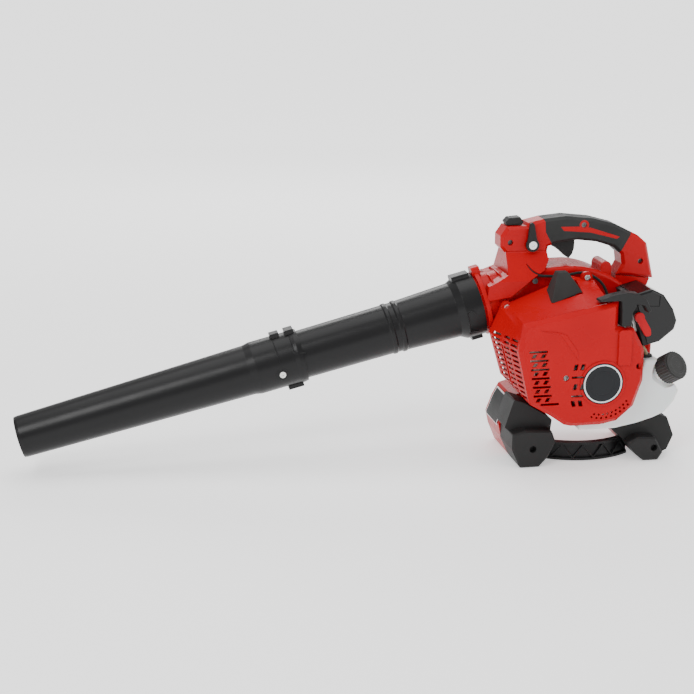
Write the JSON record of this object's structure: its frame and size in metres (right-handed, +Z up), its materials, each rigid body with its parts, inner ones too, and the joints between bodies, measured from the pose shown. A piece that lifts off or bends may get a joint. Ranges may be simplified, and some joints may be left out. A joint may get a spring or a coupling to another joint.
{
  "type": "leaf blower",
  "caption": "Hand-held petrol leaf blower with a red fan housing, loop handle, recoil starter, fuel tank and a long black blow tube with a tapered nozzle.",
  "frame": {"origin": "bottom centre of the machine standing on its feet", "axes": "+X from the nozzle back to the engine, +Y from the recoil starter towards the air intake, +Z up"},
  "size_m": [0.9403, 0.193, 0.3435],
  "materials": {
    "red_plastic": "glossy moulded plastic",
    "choke_red": "glossy moulded plastic",
    "black_plastic": "satin extruded plastic",
    "grey_plastic": "fine matt texture",
    "cap_plastic": "fine matt texture",
    "gloss_black": "polished",
    "grip_rubber": "soft touch overmould",
    "black_rubber": "matt rubber",
    "tank_plastic": "milky translucent plastic",
    "clear_bulb": "clear soft plastic",
    "hose_plastic": "amber fuel hose",
    "cable_sheath": "smooth black sheath",
    "badge_face": "printed disc with a pale ring",
    "cast_aluminium": "as cast",
    "fan_plastic": "glass filled nylon",
    "reel_plastic": "nylon",
    "steel": "ground steel",
    "bright_screw": "zinc plated",
    "dark_screw": "black oxide",
    "spark_ceramic": "glazed ceramic and steel",
    "coil_resin": "potted resin",
    "muffler_steel": "heat tinted sheet steel",
    "rope_fibre": "braided cord",
    "filter_foam": "open cell foam"
  },
  "bodies": {
    "housing": {"badge": "badge_face", "base_rail": "black_plastic", "blower_tube": "black_plastic", "carburettor": "cast_aluminium", "crankcase_far": "cast_aluminium", "crankcase_near": "cast_aluminium", "cylinder": "cast_aluminium", "engine_cover": "red_plastic", "filter_base": "grey_plastic", "filter_element": "filter_foam", "front_foot": "grey_plastic", "front_leg": "red_plastic", "fuel_filter": "filter_foam", "fuel_lines": "hose_plastic", "fuel_tank": "tank_plastic", "grip_sleeve": "grip_rubber", "handle_left": "red_plastic", "handle_right": "red_plastic", "handle_screws": "dark_screw", "heat_shield": "muffler_steel", "housing_screws": "bright_screw", "ignition_coil": "coil_resin", "ignition_lead": "cable_sheath", "intake_guard": "black_plastic", "intake_insulator": "reel_plastic", "lever_screw": "bright_screw", "main_bearings": "steel", "muffler": "muffler_steel", "nozzle": "black_plastic", "oil_seals": "black_rubber", "plug_boot": "black_rubber", "plug_cover": "black_rubber", "rear_foot": "grey_plastic", "rear_leg": "red_plastic", "recoil_spring": "steel", "spark_plug": "spark_ceramic", "tank_grommet": "black_rubber", "throttle_cable": "cable_sheath", "volute_left": "red_plastic", "volute_right": "red_plastic"},
    "crank": {"crankshaft": "steel", "shaft_nuts": "bright_screw", "fan": "fan_plastic", "flywheel": "cast_aluminium", "starter_pawls": "steel"},
    "piston_group": {"piston": "cast_aluminium", "piston_pin": "steel", "connecting_rod": "steel", "crankpin": "steel"},
    "reel": {"starter_reel": "reel_plastic", "rope_winding": "rope_fibre"},
    "pull_handle": {"starter_grip": "grey_plastic", "starter_rope": "rope_fibre"},
    "trigger": {"throttle_trigger": "grey_plastic"},
    "throttle": {"throttle_valve": "steel"},
    "lock": {"lock_lever": "grey_plastic"},
    "switch": {"stop_switch": "grey_plastic"},
    "choke": {"choke_lever": "choke_red"},
    "primer": {"primer_bulb": "clear_bulb"},
    "cap": {"fuel_cap": "cap_plastic", "cap_seal": "black_rubber"},
    "filter_lid": {"filter_cover": "gloss_black"}
  },
  "joints": [
    {"name": "crank_spin", "type": "hinge", "parent": "housing", "child": "crank", "pos_m": [0.335, 0.033, 0.1275], "axis": [0, 1, 0], "continuous": true},
    {"name": "piston_stroke", "type": "slide", "parent": "housing", "child": "piston_group", "axis": [-0.2924, 0, 0.9563], "range_m": [-0.028, 0]},
    {"name": "starter_pull", "type": "slide", "parent": "housing", "child": "pull_handle", "axis": [0, 0, 1], "range_m": [0, 0.6], "stiffness_N_per_m": 15, "springref_m": -0.3, "deforming": ["starter_rope"]},
    {"name": "reel_spin", "type": "hinge", "parent": "housing", "child": "reel", "pos_m": [0.335, 0.033, 0.1275], "axis": [0, -1, 0], "range_deg": [0, 1114]},
    {"name": "trigger_pull", "type": "hinge", "parent": "housing", "child": "trigger", "pos_m": [0.286, 0.033, 0.313], "axis": [0, -1, 0], "range_deg": [0, 14], "stiffness_Nm_per_rad": 0.4, "springref_deg": -8.59},
    {"name": "throttle_turn", "type": "hinge", "parent": "housing", "child": "throttle", "pos_m": [0.37101, -0.035, 0.20125], "axis": [0, 1, 0], "range_deg": [0, 72]},
    {"name": "lock_turn", "type": "hinge", "parent": "housing", "child": "lock", "pos_m": [0.2597, 0.011, 0.305], "axis": [0, 1, 0], "range_deg": [0, 60]},
    {"name": "switch_slide", "type": "slide", "parent": "housing", "child": "switch", "axis": [1, 0, 0], "range_m": [-0.004, 0]},
    {"name": "choke_turn", "type": "hinge", "parent": "housing", "child": "choke", "pos_m": [0.39346, -0.065, 0.21334], "axis": [0, -1, 0], "range_deg": [0, 55]},
    {"name": "primer_press", "type": "slide", "parent": "housing", "child": "primer", "axis": [0, 1, 0], "range_m": [0, 0.003], "stiffness_N_per_m": 600, "springref_m": -0.001},
    {"name": "cap_turn", "type": "hinge", "parent": "housing", "child": "cap", "pos_m": [0.439, -0.047, 0.126], "axis": [0.4002, -0.7403, 0.5402], "range_deg": [0, 90]},
    {"name": "filter_lid_slide", "type": "slide", "parent": "housing", "child": "filter_lid", "axis": [0.9563, 0, 0.2924], "range_m": [0, 0.04]}
  ],
  "couplings": [
    {"joint": "reel_spin", "follows": "starter_pull", "rad_per_m": 32.258},
    {"joint": "throttle_turn", "follows": "trigger_pull", "ratio": 5}
  ]
}
